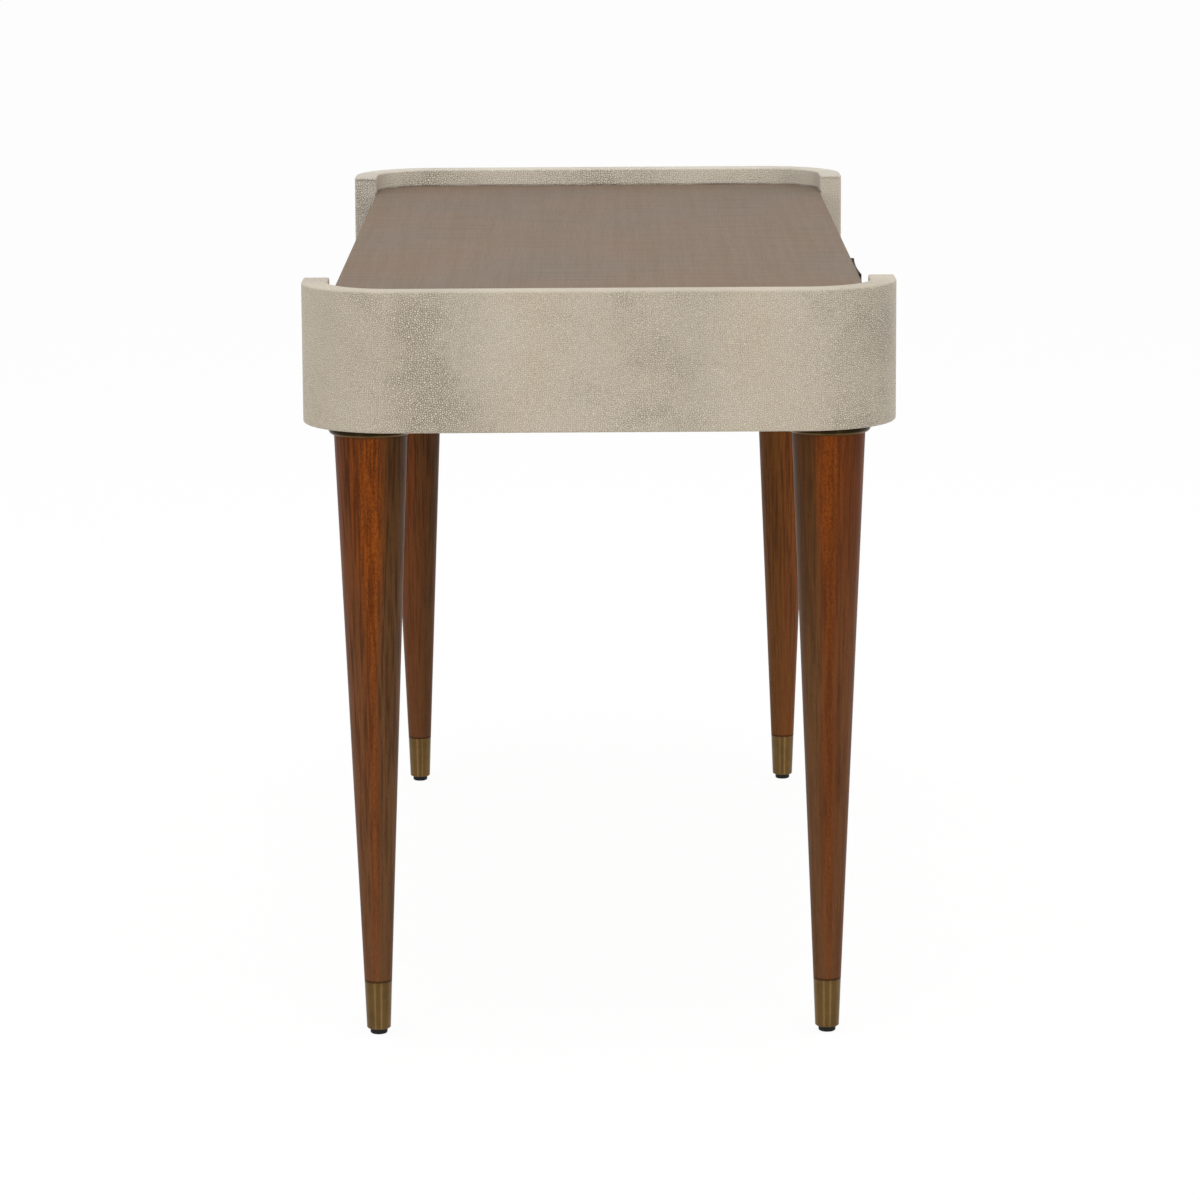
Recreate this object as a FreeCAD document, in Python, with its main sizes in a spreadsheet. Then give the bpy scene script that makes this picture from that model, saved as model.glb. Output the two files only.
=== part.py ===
import FreeCAD, Part
import Sketcher
import os
from FreeCAD import Rotation, Vector

# Writing desk: a drawer case between two U-shaped shagreen end bands, on four turned legs.
# X runs along the desk, the drawers open towards -Y, and Z = 0 is the floor under the glides.

os.makedirs("parts", exist_ok=True)
doc = FreeCAD.newDocument("writing_desk")

# Driving dimensions in millimetres
driving_sizes = [
    ("overall_length", 1372, "length over the two end bands"),
    ("overall_depth", 610, "depth over the bands, without the pulls"),
    ("overall_height", 787, "floor to the top edge of the bands"),
    ("band_height", 144, "height of an end band"),
    ("band_thick", 27, "thickness of a band with its skin"),
    ("band_radius", 97, "outer corner radius of a band"),
    ("band_arm", 133, "how far a band returns along the front and the back"),
    ("skin_thick", 1.2, "shagreen on its backing"),
    ("well_depth", 21, "band top edge above the desktop"),
    ("desktop_thick", 22, "desktop panel"),
    ("board_thick", 18, "back, end walls and dividers of the case"),
    ("bottom_thick", 12, "case bottom"),
    ("reveal", 3, "gap round the drawer fronts"),
    ("front_thick", 19, "drawer front"),
    ("front_stand_off", 1, "gap behind a closed drawer front"),
    ("leg_end_inset", 66, "leg axis from the outer end face"),
    ("leg_side_inset", 70.5, "leg axis from the front or back face of the bands"),
    ("leg_top_radius", 37.7, "leg under its collar"),
    ("leg_foot_radius", 14.4, "leg where the ferrule begins"),
    ("collar_radius", 43.3, "brass collar"),
    ("collar_thick", 9, "brass collar"),
    ("collar_edge", 5, "rounding of the collar's lower edge"),
    ("collar_lip", 1.5, "rounding of the collar's upper edge"),
    ("ferrule_top", 57, "height of the ferrule's upper edge"),
    ("ferrule_foot_radius", 12.5, "ferrule at its lower end"),
    ("ferrule_wall", 1.5, "wall of the ferrule"),
    ("ferrule_floor", 4, "closed lower end of the ferrule"),
    ("ferrule_chamfer", 1, "lower edge of the ferrule"),
    ("glide_height", 6, "glide below the ferrule"),
    ("glide_radius", 9, "glide at the floor"),
    ("glide_edge", 2.2, "rounding of the glide's lower edge"),
    ("glide_stem_radius", 3, "stem of the glide"),
    ("glide_stem_length", 18, "stem of the glide above its head"),
    ("bolt_radius", 4, "hanger bolt"),
    ("bolt_into_leg", 60, "hanger bolt below the collar"),
    ("bolt_into_block", 45, "hanger bolt above the collar"),
    ("slide_width", 12.7, "a slide between a drawer and its wall"),
    ("slide_height", 35, "case member of a slide"),
    ("drawer_back_gap", 69, "back of a closed drawer to the back panel"),
    ("slide_wall", 1.2, "steel of the slide members"),
    ("slide_play", 0.8, "ball gap between slide members"),
    ("slide_hole_radius", 2.2, "screw hole in a slide member"),
    ("slide_hole_end", 35, "screw hole from a slide member's end"),
    ("box_side_thick", 12, "sides and back of a drawer"),
    ("box_bottom_thick", 6, "bottom of a drawer"),
    ("box_groove_depth", 6, "groove for the drawer bottom"),
    ("box_groove_lift", 9, "groove above the lower edge of the sides"),
    ("box_under_gap", 6, "drawer above the case bottom"),
    ("box_over_gap", 12, "drawer below the desktop"),
    ("side_edge", 2, "rounding along the top of a drawer side"),
    ("pull_length", 172, "pull from end to end"),
    ("pull_height", 20, "pull from top to bottom"),
    ("pull_reach", 33.6, "pull's ends in front of the drawer front"),
    ("pull_waist", 2, "how far the pull's middle lies behind its ends"),
    ("pull_bar", 9, "pull's thickness at its middle"),
    ("pull_post", 15, "width of each pull post"),
    ("pull_inner_radius", 8, "rounding where a post meets the bar"),
    ("pull_corner", 1.6, "rounding of the pull's front corners in plan"),
    ("pull_edge", 0.8, "bevel of the pull's edges"),
    ("screw_radius", 2, "pull screw"),
    ("screw_head_radius", 4, "pull screw head"),
    ("screw_head_height", 2.4, "pull screw head"),
    ("screw_depth", 14, "pull screw inside the post"),
    ("cut_overrun", 5, "how far a cutting shape runs past what it cuts"),
]
drawer_count = 2

sizes = doc.addObject("Spreadsheet::Sheet", "sizes")
for row, (alias, value, meaning) in enumerate(driving_sizes, start=1):
    sizes.set(f"A{row}", meaning)
    sizes.set(f"B{row}", str(value))
    sizes.setAlias(f"B{row}", alias)
doc.recompute()


def size(text):
    """Write a sum of sheet names as an expression that FreeCAD can evaluate."""
    words = text.replace("(", " ( ").replace(")", " ) ").split()
    known = {alias for alias, value, meaning in driving_sizes}
    return "(" + " ".join(f"sizes.{word}" if word in known else word for word in words) + ")"


def number(expression):
    """Evaluate an expression now, where code needs the number to find an edge."""
    return float(sizes.evalExpression(expression))


# Levels and distances that several pieces share
half_length = size("overall_length / 2")
half_depth = size("overall_depth / 2")
band_bottom = size("overall_height - band_height")
inner_radius = size("band_radius - band_thick")
inner_depth = size("overall_depth - 2 * band_thick")
inner_length = size("overall_length - 2 * band_thick")
face_y = size("band_thick - overall_depth / 2")
back_y = size("overall_depth / 2 - band_thick")
desktop_bottom = size("overall_height - well_depth - desktop_thick")
case_height = size("band_height - well_depth - desktop_thick")
wall_base = size("overall_height - band_height + bottom_thick")
wall_height = size("band_height - well_depth - desktop_thick - bottom_thick")
case_front_y = size("band_thick - overall_depth / 2 + front_thick + front_stand_off")
case_depth = size("overall_depth - 2 * band_thick - front_thick - front_stand_off - board_thick")
opening_length = size("overall_length - 2 * band_arm")
front_length = f"(({opening_length} - {drawer_count + 1} * sizes.reveal) / {drawer_count})"
drawer_pitch = f"({front_length} + sizes.reveal)"
bay_width = f"({drawer_pitch} - sizes.board_thick)"
case_half = f"({drawer_count} / 2 * {drawer_pitch} + sizes.board_thick / 2)"
front_height = f"({case_height} - 2 * sizes.reveal)"
front_bottom = f"({band_bottom} + sizes.reveal)"
front_back_y = f"({face_y} + sizes.front_thick)"
box_length = size("overall_depth - 2 * band_thick - front_thick - board_thick - drawer_back_gap")
box_width = f"({bay_width} - 2 * sizes.slide_width)"
box_bottom = f"({wall_base} + sizes.box_under_gap)"
box_height = f"({wall_height} - sizes.box_under_gap - sizes.box_over_gap)"
slide_centre_z = f"({box_bottom} + {box_height} / 2)"
leg_x = size("overall_length / 2 - leg_end_inset")
leg_y = size("overall_depth / 2 - leg_side_inset")
collar_bottom = f"({band_bottom} - sizes.collar_thick)"
pull_z = f"({front_bottom} + {front_height} / 2)"
post_x = size("pull_length / 2 - pull_post / 2")

nodes = []


def keep(feature, label):
    """Name a finished sub-part and list it for export."""
    feature.Label = label
    nodes.append(feature)
    return feature


def place(feature, x="0", y="0", z="0", turn=0):
    """Bind a sub-part's position to the sheet, with a turn about the vertical."""
    feature.Placement = FreeCAD.Placement(Vector(), Rotation(Vector(0, 0, 1), turn))
    for axis, expression in zip("xyz", (x, y, z)):
        feature.setExpression(f"Placement.Base.{axis}", expression)


def new_body(name):
    body = doc.addObject("PartDesign::Body", name)
    body.AllowCompound = True
    return body


def sketch_on(body, role, name, lift=None):
    """Start a sketch on one of the body's origin planes, or lifted off it."""
    plane = next(item for item in body.Origin.OriginFeatures if item.Role == role)
    sketch = body.newObject("Sketcher::SketchObject", name)
    sketch.AttachmentSupport = (plane, [""])
    sketch.MapMode = "FlatFace"
    if lift:
        sketch.setExpression("AttachmentOffset.Base.z", lift)
    return sketch


def pin_point(sketch, index, end, x, y):
    """Fix a sketch point by two dimensions from the sketch's origin, or on its axes."""
    for kind, axis, expression in (("DistanceX", -2, x), ("DistanceY", -1, y)):
        if expression == "0":
            sketch.addConstraint(Sketcher.Constraint("PointOnObject", index, end, axis))
        else:
            at = sketch.addConstraint(
                Sketcher.Constraint(kind, -1, 1, index, end, number(expression)))
            sketch.setExpression(f"Constraints[{at}]", expression)


def draw_outline(sketch, points, hollows=()):
    """Draw a closed outline through points given as expressions.

    Sides are straight, but for those in hollows: side number, radius, and a point on the arc.
    """
    corners = [Vector(number(x), number(y), 0) for x, y in points]
    first = sketch.GeometryCount
    count = len(corners)
    arcs = {side: (radius, through) for side, radius, through in hollows}
    ends = []
    for side, (start, end) in enumerate(zip(corners, corners[1:] + corners[:1])):
        if side in arcs:
            radius, through = arcs[side]
            middle = Vector(number(through[0]), number(through[1]), 0)
            forward = (middle - start).cross(end - middle).z > 0
            path = (start, middle, end) if forward else (end, middle, start)
            index = sketch.addGeometry(Part.Arc(*path), False)
            at = sketch.addConstraint(Sketcher.Constraint("Radius", index, number(radius)))
            sketch.setExpression(f"Constraints[{at}]", radius)
            ends.append((1, 2) if forward else (2, 1))
        else:
            sketch.addGeometry(Part.LineSegment(start, end), False)
            ends.append((1, 2))
    for step in range(count):
        other = (step + 1) % count
        sketch.addConstraint(
            Sketcher.Constraint("Coincident", first + step, ends[step][1], first + other, ends[other][0]))
    for step, (x, y) in enumerate(points):
        pin_point(sketch, first + step, ends[step][0], x, y)


def draw_rectangle(sketch, low_x, low_y, high_x, high_y):
    draw_outline(sketch, [(low_x, low_y), (high_x, low_y), (high_x, high_y), (low_x, high_y)])


def draw_circle(sketch, x, y, radius):
    centre = Vector(number(x), number(y), 0)
    index = sketch.addGeometry(Part.Circle(centre, Vector(0, 0, 1), number(radius)), False)
    at = sketch.addConstraint(Sketcher.Constraint("Radius", index, number(radius)))
    sketch.setExpression(f"Constraints[{at}]", radius)
    pin_point(sketch, index, 3, x, y)


def pad(body, sketch, length, reverse=False):
    feature = body.newObject("PartDesign::Pad", "pad")
    feature.Profile = sketch
    feature.setExpression("Length", length)
    feature.Reversed = reverse
    doc.recompute()
    return feature


def pocket(body, sketch, length=None, reverse=False, both_ways=False):
    """Cut a sketch out of the body, to a depth or right through, and check that it cut."""
    before = body.Shape.Volume
    feature = body.newObject("PartDesign::Pocket", "pocket")
    feature.Profile = sketch
    feature.Reversed = reverse
    feature.Midplane = both_ways
    if length:
        feature.setExpression("Length", length)
    else:
        feature.Type = "ThroughAll"
    doc.recompute()
    if body.Shape.Volume >= before:
        raise RuntimeError(f"{body.Label}: a pocket cuts nothing")
    return feature


def revolve(body, sketch):
    feature = body.newObject("PartDesign::Revolution", "turn")
    feature.Profile = sketch
    feature.ReferenceAxis = (sketch, ["V_Axis"])
    feature.Angle = 360
    doc.recompute()
    return feature


def edges_where(feature, test):
    """Names of the edges whose midpoint and direction pass a test."""
    found = []
    for index, edge in enumerate(feature.Shape.Edges, start=1):
        middle = edge.valueAt((edge.FirstParameter + edge.LastParameter) / 2)
        tangent = edge.tangentAt((edge.FirstParameter + edge.LastParameter) / 2)
        if test(middle, tangent, edge):
            found.append(f"Edge{index}")
    return found


def round_edges(body, feature, test, radius):
    names = edges_where(feature, test)
    if not names:
        raise RuntimeError(f"{body.Label}: no edge to round")
    fillet = body.newObject("PartDesign::Fillet", "round")
    fillet.Base = (feature, names)
    fillet.setExpression("Radius", radius)
    doc.recompute()
    return fillet


def bevel_edges(body, feature, test, width):
    chamfer = body.newObject("PartDesign::Chamfer", "bevel")
    chamfer.Base = (feature, edges_where(feature, test))
    chamfer.setExpression("Size", width)
    doc.recompute()
    return chamfer


def near(value, expression):
    return abs(value - number(expression)) < 1e-4 * number("sizes.overall_height")


def upright(tangent):
    return abs(tangent.z) > 0.999


# End bands: a bent core in a shagreen skin. Each is drawn for the left end, with x from the end face.


def band_solid(name, inset, height):
    """A U in plan, standing on z = 0 and set in from the outer faces by a skin's thickness."""
    body = new_body(name)
    outline = sketch_on(body, "XY_Plane", name + "_outer")
    far_x = f"(sizes.band_arm - {inset})"
    side_y = f"(sizes.overall_depth / 2 - {inset})"
    draw_rectangle(outline, inset, f"(-{side_y})", far_x, side_y)
    pad(body, outline, height)
    hollow = sketch_on(body, "XY_Plane", name + "_inner")
    wall_x = f"(sizes.band_thick - {inset})"
    wall_y = f"(sizes.overall_depth / 2 - sizes.band_thick + {inset})"
    past_x = "(sizes.band_arm + sizes.cut_overrun)"
    draw_rectangle(hollow, wall_x, f"(-{wall_y})", past_x, wall_y)
    solid = pocket(body, hollow, reverse=True)
    solid = round_edges(
        body, solid, lambda at, way, edge: upright(way) and near(at.x, wall_x),
        f"(sizes.band_radius - sizes.band_thick + {inset})")
    round_edges(
        body, solid, lambda at, way, edge: upright(way) and near(at.x, inset),
        f"(sizes.band_radius - {inset})")
    return body


for end, turn, end_x in (("left", 0, f"(-{half_length})"), ("right", 180, half_length)):
    core = band_solid(f"{end}_core", "sizes.skin_thick", "(sizes.band_height - sizes.skin_thick)")
    place(core, x=end_x, z=band_bottom, turn=turn)
    keep(core, f"{end}_band_core")
    blank = band_solid(f"{end}_blank", "0", "sizes.band_height")
    place(blank, x=end_x, z=band_bottom, turn=turn)
    skin = doc.addObject("Part::Cut", f"{end}_skin")
    skin.Base = blank
    skin.Tool = core
    doc.recompute()
    keep(skin, f"{end}_band_shagreen")

# Desktop: fills the space inside the bands, its corners rounded to their inner radius
desktop = new_body("desktop")
outline = sketch_on(desktop, "XY_Plane", "desktop_plan")
draw_rectangle(outline, f"(-{inner_length} / 2)", face_y, f"({inner_length} / 2)", back_y)
solid = pad(desktop, outline, "sizes.desktop_thick")
round_edges(desktop, solid, lambda at, way, edge: upright(way), inner_radius)
place(desktop, z=desktop_bottom)
keep(desktop, "desktop_panel")


def board(label, x, y, z, length, width, height):
    """A plain board from its low corner and its three sizes."""
    box = doc.addObject("Part::Box", label)
    box.setExpression("Length", length)
    box.setExpression("Width", width)
    box.setExpression("Height", height)
    place(box, x, y, z)
    return keep(box, label)


# Case between the bands
case_length = f"(2 * {case_half})"
board("case_bottom", f"(-{case_half})", case_front_y, band_bottom,
      case_length, case_depth, "sizes.bottom_thick")
board("back_panel", f"(-{case_half})", f"({back_y} - sizes.board_thick)", band_bottom,
      case_length, "sizes.board_thick", case_height)
wall_names = ["left_case_end", "middle_divider", "right_case_end"]
for index, label in enumerate(wall_names):
    centre = f"({index - drawer_count / 2} * {drawer_pitch})"
    board(label, f"({centre} - sizes.board_thick / 2)", case_front_y, wall_base,
          "sizes.board_thick", case_depth, wall_height)

# Corner blocks: one over each leg, filling the corner inside the band, with the bolt's hole
block_length = f"({half_length} - sizes.band_thick - {case_half})"
block_width = f"({half_depth} - sizes.band_thick - {leg_y} + {block_length} / 2)"
corners = []
for side, way_y in (("front", -1), ("back", 1)):
    for end, way_x in (("left", -1), ("right", 1)):
        corners.append((f"{side}_{end}", way_x, way_y))


def corner_block(label, way_x, way_y):
    """Drawn with its outer corner at the origin, running inwards along both axes."""
    body = new_body(label)
    outline = sketch_on(body, "XY_Plane", label + "_plan")
    inward_x = f"({-way_x} * {block_length})"
    inward_y = f"({-way_y} * {block_width})"
    draw_rectangle(outline, "0", "0", inward_x, inward_y)
    solid = pad(body, outline, case_height)
    round_edges(body, solid, lambda at, way, edge: upright(way) and near(at.x, "0") and near(at.y, "0"),
                inner_radius)
    hole = sketch_on(body, "XY_Plane", label + "_hole")
    draw_circle(hole, f"({-way_x} * (sizes.leg_end_inset - sizes.band_thick))",
                f"({-way_y} * (sizes.leg_side_inset - sizes.band_thick))", "sizes.bolt_radius")
    pocket(body, hole, "sizes.bolt_into_block", reverse=True)
    place(body, f"({way_x} * {inner_length} / 2)", f"({way_y} * {inner_depth} / 2)", band_bottom)
    keep(body, label)


# Legs, turned about their own axis from the floor up


def turned(label, outline):
    body = new_body(label)
    profile = sketch_on(body, "XZ_Plane", label + "_profile")
    draw_outline(profile, outline)
    return body, revolve(body, profile)


ferrule_bore = "(sizes.leg_foot_radius - sizes.ferrule_wall)"
ferrule_base = "sizes.glide_height"
ferrule_seat = "(sizes.glide_height + sizes.ferrule_floor)"
stem_top = "(sizes.glide_height + sizes.glide_stem_length)"
ferrule_tip_bore = "(sizes.ferrule_foot_radius - sizes.ferrule_wall)"
bolt_foot = f"({collar_bottom} - sizes.bolt_into_leg)"
bolt_head = f"({band_bottom} + sizes.bolt_into_block)"


def ring(feature_radius, level):
    """Test for a circular edge of a radius at a level."""
    def test(at, way, edge):
        return near(at.z, level) and near(Vector(at.x, at.y, 0).Length, feature_radius)
    return test


def leg(label, x, y):
    """A tapered leg: its tip fits the ferrule, its top has the bolt's hole."""
    body, solid = turned(label, [
        ("sizes.glide_stem_radius", ferrule_seat),
        (ferrule_tip_bore, ferrule_seat),
        (ferrule_bore, "sizes.ferrule_top"),
        ("sizes.leg_foot_radius", "sizes.ferrule_top"),
        ("sizes.leg_top_radius", collar_bottom),
        ("sizes.bolt_radius", collar_bottom),
        ("sizes.bolt_radius", bolt_foot),
        ("0", bolt_foot),
        ("0", stem_top),
        ("sizes.glide_stem_radius", stem_top),
    ])
    place(body, x, y)
    keep(body, label)


def collar(label, x, y):
    """A brass disc with a rounded rim between the leg and the case."""
    body, solid = turned(label, [
        ("sizes.bolt_radius", collar_bottom),
        ("sizes.collar_radius", collar_bottom),
        ("sizes.collar_radius", band_bottom),
        ("sizes.bolt_radius", band_bottom),
    ])
    solid = round_edges(body, solid, ring("sizes.collar_radius", collar_bottom), "sizes.collar_edge")
    round_edges(body, solid, ring("sizes.collar_radius", band_bottom), "sizes.collar_lip")
    place(body, x, y)
    keep(body, label)


def ferrule(label, x, y):
    """A tapered brass cup on the leg's tip, with a hole for the glide's stem."""
    body, solid = turned(label, [
        ("sizes.glide_stem_radius", ferrule_base),
        ("(sizes.ferrule_foot_radius - sizes.ferrule_chamfer)", ferrule_base),
        ("sizes.ferrule_foot_radius", "(sizes.glide_height + sizes.ferrule_chamfer)"),
        ("sizes.leg_foot_radius", "sizes.ferrule_top"),
        (ferrule_bore, "sizes.ferrule_top"),
        (ferrule_tip_bore, ferrule_seat),
        ("sizes.glide_stem_radius", ferrule_seat),
    ])
    place(body, x, y)
    keep(body, label)


def glide(label, x, y):
    """A black foot with a stem up into the leg."""
    body, solid = turned(label, [
        ("0", "0"),
        ("sizes.glide_radius", "0"),
        ("sizes.glide_radius", ferrule_base),
        ("sizes.glide_stem_radius", ferrule_base),
        ("sizes.glide_stem_radius", stem_top),
        ("0", stem_top),
    ])
    round_edges(body, solid, ring("sizes.glide_radius", "0"), "sizes.glide_edge")
    place(body, x, y)
    return body


def group(label, members):
    """Identical small pieces that share one node and stay separate solids."""
    compound = doc.addObject("Part::Compound", label)
    compound.Links = members
    doc.recompute()
    return keep(compound, label)


glides = []
bolts = []
for corner, way_x, way_y in corners:
    x = f"({way_x} * {leg_x})"
    y = f"({way_y} * {leg_y})"
    corner_block(f"{corner}_corner_block", way_x, way_y)
    leg(f"{corner}_leg", x, y)
    collar(f"{corner}_collar", x, y)
    ferrule(f"{corner}_ferrule", x, y)
    glides.append(glide(f"{corner}_glide", x, y))
    bolt = doc.addObject("Part::Cylinder", f"{corner}_bolt")
    bolt.setExpression("Radius", "sizes.bolt_radius")
    bolt.setExpression("Height", f"({bolt_head} - {bolt_foot})")
    place(bolt, x, y, bolt_foot)
    bolts.append(bolt)
group("leg_glides", glides)
group("leg_hanger_bolts", bolts)

# Slides: three nested C sections on each side of a drawer, drawn looking along the desk's depth


def slide_members(label, back_gap, depth, half_height, length, opens_inwards, hole):
    """One member on each side of a bay, from the bay wall's face and a gap in front of it."""
    body = new_body(label)
    profile = sketch_on(body, "XZ_Plane", label + "_profile")
    wall = "sizes.slide_wall"
    for way in (-1, 1):
        def across(distance):
            return f"({way} * ({bay_width} / 2 - ({distance})))"
        if opens_inwards:
            plate, lip = back_gap, f"{back_gap} + {depth}"
            web = f"{plate} + {wall}"
        else:
            plate, lip = f"{back_gap} + {depth}", back_gap
            web = f"{plate} - {wall}"
        draw_outline(profile, [
            (across(plate), f"(-{half_height})"),
            (across(lip), f"(-{half_height})"),
            (across(lip), f"({wall} - {half_height})"),
            (across(web), f"({wall} - {half_height})"),
            (across(web), f"({half_height} - {wall})"),
            (across(lip), f"({half_height} - {wall})"),
            (across(lip), half_height),
            (across(plate), half_height),
        ])
    pad(body, profile, length, reverse=True)
    if hole:
        holes = sketch_on(body, "YZ_Plane", label + "_holes")
        for place_y in ("sizes.slide_hole_end", f"({length} / 2)",
                        f"({length} - sizes.slide_hole_end)"):
            draw_circle(holes, place_y, "0", "sizes.slide_hole_radius")
        pocket(body, holes, f"(2 * {bay_width})", both_ways=True)
    return body


slide_gap = "(sizes.slide_wall + sizes.slide_play)"
case_lip = f"(sizes.slide_width - {slide_gap})"
middle_height = f"(sizes.slide_height / 2 - {slide_gap})"
drawer_member_height = f"(sizes.slide_height / 2 - 2 * {slide_gap})"
member_depth = f"(sizes.slide_width - 2 * {slide_gap})"
case_member_length = f"({box_length} - sizes.front_stand_off)"
members = [
    ("case", "0", case_lip, "(sizes.slide_height / 2)", case_member_length, case_front_y, True, True),
    ("middle", slide_gap, member_depth, middle_height, case_member_length, case_front_y, True, False),
    ("drawer", f"(2 * {slide_gap})", member_depth, drawer_member_height, box_length, front_back_y,
     False, True),
]

# Drawers: box sides grooved for the bottom, an applied front, and a bronze pull on two posts

groove_z = f"({box_bottom} + sizes.box_groove_lift)"
groove_reach = "(sizes.box_side_thick - sizes.box_groove_depth)"


def drawer_side(label, centre_x, way):
    """Drawn with its inner face on x = 0; the groove is cut into that face."""
    body = new_body(label)
    section = sketch_on(body, "XZ_Plane", label + "_section")
    outer_x = f"({way} * sizes.box_side_thick)"
    groove_x = f"({way} * sizes.box_groove_depth)"
    over = "(sizes.box_groove_lift + sizes.box_bottom_thick)"
    draw_outline(section, [
        ("0", "0"), (outer_x, "0"), (outer_x, box_height), ("0", box_height),
        ("0", over), (groove_x, over), (groove_x, "sizes.box_groove_lift"),
        ("0", "sizes.box_groove_lift"),
    ])
    solid = pad(body, section, box_length, reverse=True)
    round_edges(body, solid,
                lambda at, way_along, edge: abs(way_along.y) > 0.999 and near(at.z, box_height),
                "sizes.side_edge")
    place(body, f"({centre_x} + {way} * ({box_width} / 2 - sizes.box_side_thick))",
          front_back_y, box_bottom)
    keep(body, label)


def drawer_front(label, centre_x):
    """Drawn from its lower back edge, with a groove for the bottom and two screw holes."""
    body = new_body(label)
    section = sketch_on(body, "XZ_Plane", label + "_face")
    draw_rectangle(section, f"(-{front_length} / 2)", "0", f"({front_length} / 2)", front_height)
    pad(body, section, "sizes.front_thick")
    groove = sketch_on(body, "XZ_Plane", label + "_groove")
    reach = f"({box_width} / 2 - {groove_reach})"
    low = f"({groove_z} - {front_bottom})"
    draw_rectangle(groove, f"(-{reach})", low, reach, f"({low} + sizes.box_bottom_thick)")
    pocket(body, groove, "sizes.box_groove_depth", reverse=True)
    holes = sketch_on(body, "XZ_Plane", label + "_holes")
    for way in (-1, 1):
        draw_circle(holes, f"({way} * {post_x})", f"({pull_z} - {front_bottom})", "sizes.screw_radius")
    pocket(body, holes, reverse=True)
    place(body, centre_x, front_back_y, front_bottom)
    keep(body, label)


def drawer_pull(label, centre_x):
    """A bar with a hollowed front on two posts, drawn in plan from the drawer's face."""
    body = new_body(label)
    plan = sketch_on(body, "XY_Plane", label + "_plan", lift="(-sizes.pull_height / 2)")
    half = "(sizes.pull_length / 2)"
    inner = "(sizes.pull_length / 2 - sizes.pull_post)"
    front = "(-sizes.pull_reach)"
    bar_back = "(sizes.pull_waist + sizes.pull_bar - sizes.pull_reach)"
    hollow_radius = f"({half} * {half} / (2 * sizes.pull_waist) + sizes.pull_waist / 2)"
    middle = "(sizes.pull_waist - sizes.pull_reach)"
    draw_outline(plan, [
        (f"(-{half})", "0"), (f"(-{half})", front), (half, front), (half, "0"),
        (inner, "0"), (inner, bar_back), (f"(-{inner})", bar_back), (f"(-{inner})", "0"),
    ], hollows=[(1, hollow_radius, ("0", middle))])
    solid = pad(body, plan, "sizes.pull_height")
    solid = round_edges(body, solid,
                        lambda at, way, edge: upright(way) and near(at.y, bar_back),
                        "sizes.pull_inner_radius")
    solid = round_edges(body, solid,
                        lambda at, way, edge: upright(way) and near(at.y, front),
                        "sizes.pull_corner")
    bevel_edges(body, solid,
                lambda at, way, edge: not near(at.y, "0") and not upright(way),
                "sizes.pull_edge")
    holes = sketch_on(body, "XZ_Plane", label + "_holes")
    for way in (-1, 1):
        draw_circle(holes, f"({way} * {post_x})", "0", "sizes.screw_radius")
    pocket(body, holes, "sizes.screw_depth", reverse=True)
    place(body, centre_x, face_y, pull_z)
    keep(body, label)


def pull_screws(label, centre_x):
    """Two screws from inside the drawer, their heads on the back of its front."""
    screws = []
    for way in (-1, 1):
        body = new_body(f"{label}_{'left' if way < 0 else 'right'}")
        profile = sketch_on(body, "XY_Plane", body.Name + "_profile")
        tip = "(-(sizes.front_thick + sizes.screw_depth))"
        draw_outline(profile, [
            ("0", tip), ("sizes.screw_radius", tip), ("sizes.screw_radius", "0"),
            ("sizes.screw_head_radius", "0"),
            ("sizes.screw_head_radius", "sizes.screw_head_height"),
            ("0", "sizes.screw_head_height"),
        ])
        revolve(body, profile)
        place(body, f"({centre_x} + {way} * {post_x})", front_back_y, pull_z)
        screws.append(body)
    group(label, screws)


for index, name in enumerate(("left", "right")):
    centre_x = f"({index - (drawer_count - 1) / 2} * {drawer_pitch})"
    drawer_front(f"{name}_drawer_front", centre_x)
    drawer_side(f"{name}_drawer_left_side", centre_x, -1)
    drawer_side(f"{name}_drawer_right_side", centre_x, 1)
    inner_width = f"({box_width} - 2 * sizes.box_side_thick)"
    back_base = f"({groove_z} + sizes.box_bottom_thick)"
    board(f"{name}_drawer_back", f"({centre_x} - {inner_width} / 2)",
          f"({front_back_y} + {box_length} - sizes.box_side_thick)", back_base,
          inner_width, "sizes.box_side_thick", f"({box_bottom} + {box_height} - {back_base})")
    bottom_width = f"({inner_width} + 2 * sizes.box_groove_depth)"
    board(f"{name}_drawer_bottom", f"({centre_x} - {bottom_width} / 2)",
          f"({front_back_y} - sizes.box_groove_depth)", groove_z,
          bottom_width, f"({box_length} + sizes.box_groove_depth)", "sizes.box_bottom_thick")
    drawer_pull(f"{name}_drawer_pull", centre_x)
    pull_screws(f"{name}_pull_screws", centre_x)
    for kind, back_gap, depth, half_height, length, front_y, opens_inwards, hole in members:
        member = slide_members(f"{name}_slide_{kind}_members", back_gap, depth, half_height,
                               length, opens_inwards, hole)
        place(member, centre_x, front_y, slide_centre_z)
        keep(member, f"{name}_slide_{kind}_members")

doc.recompute()
for item in doc.Objects:
    if "Invalid" in item.State or "Error" in item.State:
        raise RuntimeError(f"{item.Label}: {item.State}")
for node in nodes:
    shape = node.Shape
    if shape.isNull() or not shape.isValid() or not shape.Solids:
        raise RuntimeError(f"{node.Label}: bad shape")
    shape.exportStep(f"parts/{node.Label}.step")
    print(node.Label, len(shape.Solids), round(shape.Volume / 1000, 1))
print(len(nodes), "nodes")
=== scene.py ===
import math

import bmesh
import bpy
from mathutils import Matrix, Vector


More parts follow.
